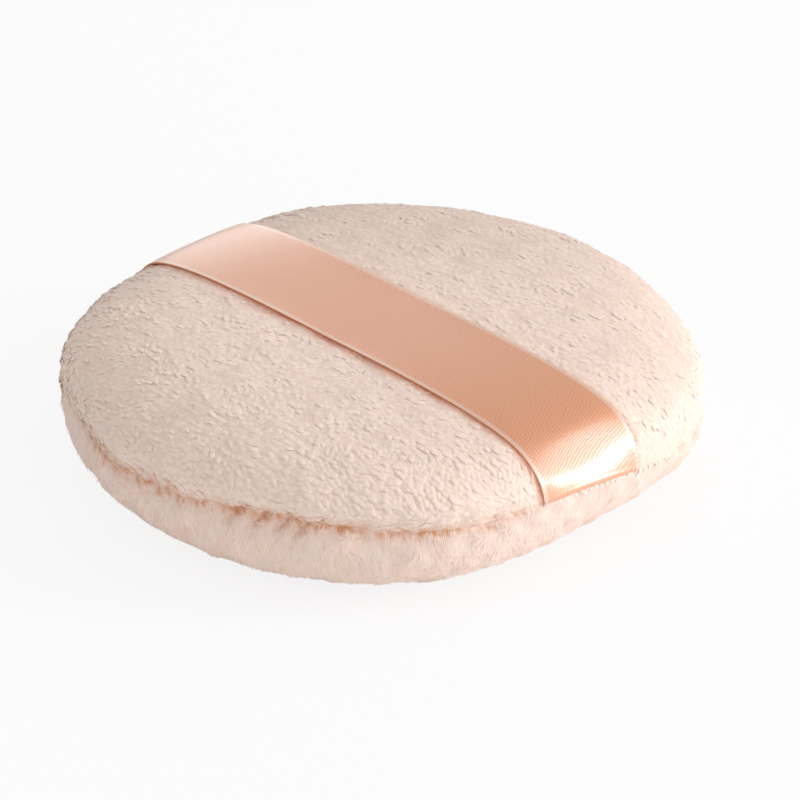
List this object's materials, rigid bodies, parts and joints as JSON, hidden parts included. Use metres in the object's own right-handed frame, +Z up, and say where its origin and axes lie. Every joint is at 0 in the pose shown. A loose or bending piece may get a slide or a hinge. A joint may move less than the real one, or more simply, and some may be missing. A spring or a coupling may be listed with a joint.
{
  "type": "powder puff",
  "caption": "Round cosmetic powder puff: short velour on top, longer plush below, foam inside, sewn together at the rim with a satin ribbon band across the top for the fingers.",
  "frame": {"origin": "middle of the flat patch that the puff lies on, on its plush side", "axes": "+Z up, out of the crown on the ribbon side; X along the ribbon; Y across it"},
  "size_m": [0.0762, 0.0796, 0.0206],
  "materials": {
    "velour": "short dense velour pile, pale pinkish beige",
    "plush": "longer soft plush pile, pale pinkish beige",
    "foam": "open-cell cushion foam, cream",
    "satin": "single-face satin ribbon, peach",
    "thread": "polyester sewing thread, tan"
  },
  "bodies": {
    "puff": {"upper_cover": "velour", "lower_cover": "plush", "foam_core": "foam", "ribbon_tail_right": "satin", "ribbon_tail_left": "satin", "seam_thread_back": "thread", "seam_thread_left": "thread", "seam_thread_right": "thread", "closing_thread": "thread"},
    "band": {"ribbon_band": "satin"}
  },
  "joints": [
    {"name": "ribbon_lift", "type": "slide", "parent": "puff", "child": "band", "axis": [0, 0, 1], "range_m": [0, 0.007]}
  ]
}
